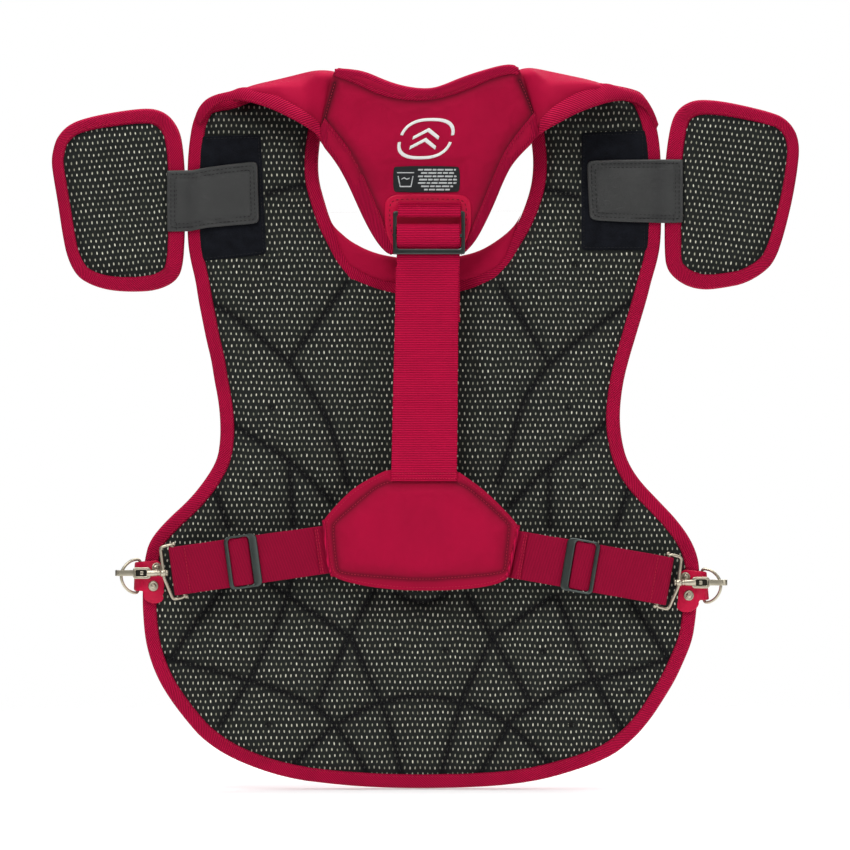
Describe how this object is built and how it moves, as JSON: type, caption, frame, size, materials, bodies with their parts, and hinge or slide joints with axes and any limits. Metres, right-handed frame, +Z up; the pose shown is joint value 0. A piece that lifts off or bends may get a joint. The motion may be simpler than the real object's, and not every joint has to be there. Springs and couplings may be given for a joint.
{
  "type": "catcher's chest protector",
  "caption": "Padded chest protector with shoulder yoke, adjustable back harness clipped to side rings, and detachable upper-arm pads.",
  "frame": {"origin": "bottom centre of the whole object's box, with the harness lying against the panel", "axes": "+Z up towards the shoulders, -Y towards the wearer and the harness, +X to the right as seen from the wearer's side"},
  "size_m": [0.5976, 0.07, 0.5799],
  "materials": {
    "crimson_fabric": "woven polyester, matt with a soft sheen",
    "twill_tape": "herringbone twill tape, stitched",
    "coated_fabric": "smooth coated fabric, satin",
    "mesh_fabric": "knitted mesh with pale holes",
    "foam": "closed-cell foam",
    "loop_pile": "brushed loop pile",
    "hook_pile": "moulded hook tape",
    "synthetic_leather": "fine grain, satin",
    "label": "smooth woven label",
    "elastic_webbing": "ribbed elastic webbing",
    "gunmetal": "dark satin metal",
    "nickel": "polished nickel plate"
  },
  "bodies": {
    "panel": {"outer_cover": "crimson_fabric", "mesh_lining": "mesh_fabric", "foam_upper_left": "foam", "foam_upper_right": "foam", "foam_centre": "foam", "foam_side_left": "foam", "foam_side_right": "foam", "foam_lower": "foam", "edge_binding": "twill_tape", "neck_binding": "twill_tape", "neck_collar": "crimson_fabric", "loop_patch_left": "loop_pile", "loop_patch_right": "loop_pile", "ring_tab_left": "coated_fabric", "ring_tab_right": "coated_fabric", "ring_rivet_left_1": "nickel", "ring_rivet_left_2": "nickel", "ring_rivet_right_1": "nickel", "ring_rivet_right_2": "nickel"},
    "yoke": {"yoke_cover": "crimson_fabric", "yoke_foam": "foam", "yoke_lining": "mesh_fabric", "yoke_neck_binding": "twill_tape", "yoke_side_binding_left": "twill_tape", "yoke_side_binding_right": "twill_tape", "shoulder_pad_left": "crimson_fabric", "shoulder_pad_right": "crimson_fabric", "strap_anchor_patch": "coated_fabric", "care_label": "label", "buckle_loop": "elastic_webbing"},
    "back_strap": {"back_buckle": "gunmetal", "back_strap": "elastic_webbing"},
    "back_pad": {"back_pad_cover": "crimson_fabric", "back_pad_foam": "foam", "back_pad_lining": "mesh_fabric"},
    "d_ring_left": {"d_ring_left": "nickel"},
    "side_strap_left": {"side_strap_left": "elastic_webbing"},
    "side_slider_left": {"side_slider_left": "gunmetal"},
    "hook_frame_left": {"hook_frame_left": "nickel"},
    "snap_hook_left": {"snap_hook_left": "nickel"},
    "hook_gate_left": {"hook_gate_left": "nickel"},
    "arm_tab_left": {"arm_tab_left": "synthetic_leather", "arm_tab_hook_strip_left": "hook_pile"},
    "arm_pad_left": {"arm_pad_lining_left": "mesh_fabric", "arm_pad_foam_left": "foam", "arm_pad_cover_left": "crimson_fabric", "arm_pad_binding_left": "twill_tape"},
    "d_ring_right": {"d_ring_right": "nickel"},
    "side_strap_right": {"side_strap_right": "elastic_webbing"},
    "side_slider_right": {"side_slider_right": "gunmetal"},
    "hook_frame_right": {"hook_frame_right": "nickel"},
    "snap_hook_right": {"snap_hook_right": "nickel"},
    "hook_gate_right": {"hook_gate_right": "nickel"},
    "arm_tab_right": {"arm_tab_right": "synthetic_leather", "arm_tab_hook_strip_right": "hook_pile"},
    "arm_pad_right": {"arm_pad_lining_right": "mesh_fabric", "arm_pad_foam_right": "foam", "arm_pad_cover_right": "crimson_fabric", "arm_pad_binding_right": "twill_tape"}
  },
  "joints": [
    {"name": "yoke_swing", "type": "hinge", "parent": "panel", "child": "yoke", "pos_m": [-0.0004, -0.0022, 0.58112], "axis": [-1, 0, 0], "range_deg": [0, 110]},
    {"name": "buckle_swing", "type": "hinge", "parent": "yoke", "child": "back_strap", "pos_m": [0.0028, -0.0154, 0.4608], "axis": [-1, 0, 0], "range_deg": [0, 40]},
    {"name": "back_pad_flex", "type": "hinge", "parent": "back_strap", "child": "back_pad", "pos_m": [-0.0004, -0.01195, 0.24696], "axis": [-1, 0, 0], "range_deg": [0, 45]},
    {"name": "side_strap_swing_left", "type": "hinge", "parent": "back_pad", "child": "side_strap_left", "pos_m": [-0.08312, -0.0089, 0.19152], "axis": [-0.1328, -0.0297, 0.9907], "range_deg": [0, 75]},
    {"name": "side_slider_slide_left", "type": "slide", "parent": "side_strap_left", "child": "side_slider_left", "axis": [-0.9668, -0.2163, -0.1361], "range_m": [-0.045, 0.026]},
    {"name": "ring_swing_left", "type": "hinge", "parent": "panel", "child": "d_ring_left", "pos_m": [-0.22858, -0.01713, 0.17064], "axis": [0.0802, 0, 0.9968], "range_deg": [0, 25]},
    {"name": "hook_frame_swing_left", "type": "hinge", "parent": "side_strap_left", "child": "hook_frame_left", "pos_m": [-0.1968, -0.03063, 0.17552], "axis": [-0.2399, -0.0537, 0.9693], "range_deg": [0, 8]},
    {"name": "hook_swivel_left", "type": "hinge", "parent": "hook_frame_left", "child": "snap_hook_left", "pos_m": [-0.24248, -0.03063, 0.17352], "axis": [1, 0, 0], "range_deg": [-18, 12]},
    {"name": "hook_gate_press_left", "type": "hinge", "parent": "snap_hook_left", "child": "hook_gate_left", "pos_m": [-0.23388, -0.01883, 0.17352], "axis": [0, 0, 1], "range_deg": [0, 9], "stiffness_Nm_per_rad": 0.02},
    {"name": "arm_tab_lift_left", "type": "slide", "parent": "panel", "child": "arm_tab_left", "axis": [0, -1, 0], "range_m": [0, 0.05]},
    {"name": "arm_pad_fold_left", "type": "hinge", "parent": "arm_tab_left", "child": "arm_pad_left", "pos_m": [-0.1908, -0.0034, 0.47152], "axis": [0, 0, 1], "range_deg": [0, 70]},
    {"name": "side_strap_swing_right", "type": "hinge", "parent": "back_pad", "child": "side_strap_right", "pos_m": [0.07528, -0.0089, 0.18752], "axis": [-0.1648, 0.033, -0.9858], "range_deg": [0, 75]},
    {"name": "side_slider_slide_right", "type": "slide", "parent": "side_strap_right", "child": "side_slider_right", "axis": [0.9666, -0.1935, -0.1681], "range_m": [-0.03, 0.041]},
    {"name": "ring_swing_right", "type": "hinge", "parent": "panel", "child": "d_ring_right", "pos_m": [0.22154, -0.01454, 0.16296], "axis": [0.0802, 0, -0.9968], "range_deg": [0, 25]},
    {"name": "hook_frame_swing_right", "type": "hinge", "parent": "side_strap_right", "child": "hook_frame_right", "pos_m": [0.18936, -0.02804, 0.16768], "axis": [-0.245, 0.0491, -0.9683], "range_deg": [0, 8]},
    {"name": "hook_swivel_right", "type": "hinge", "parent": "hook_frame_right", "child": "snap_hook_right", "pos_m": [0.23584, -0.02804, 0.16592], "axis": [1, 0, 0], "range_deg": [-18, 12]},
    {"name": "hook_gate_press_right", "type": "hinge", "parent": "snap_hook_right", "child": "hook_gate_right", "pos_m": [0.22724, -0.01624, 0.16592], "axis": [0, 0, -1], "range_deg": [0, 9], "stiffness_Nm_per_rad": 0.02},
    {"name": "arm_tab_lift_right", "type": "slide", "parent": "panel", "child": "arm_tab_right", "axis": [0, -1, 0], "range_m": [0, 0.05]},
    {"name": "arm_pad_fold_right", "type": "hinge", "parent": "arm_tab_right", "child": "arm_pad_right", "pos_m": [0.19, -0.0034, 0.47152], "axis": [0, 0, -1], "range_deg": [0, 70]}
  ],
  "couplings": [
    {"joint": "hook_frame_swing_left", "follows": "ring_swing_left", "ratio": 0.28},
    {"joint": "hook_frame_swing_right", "follows": "ring_swing_right", "ratio": 0.28}
  ]
}
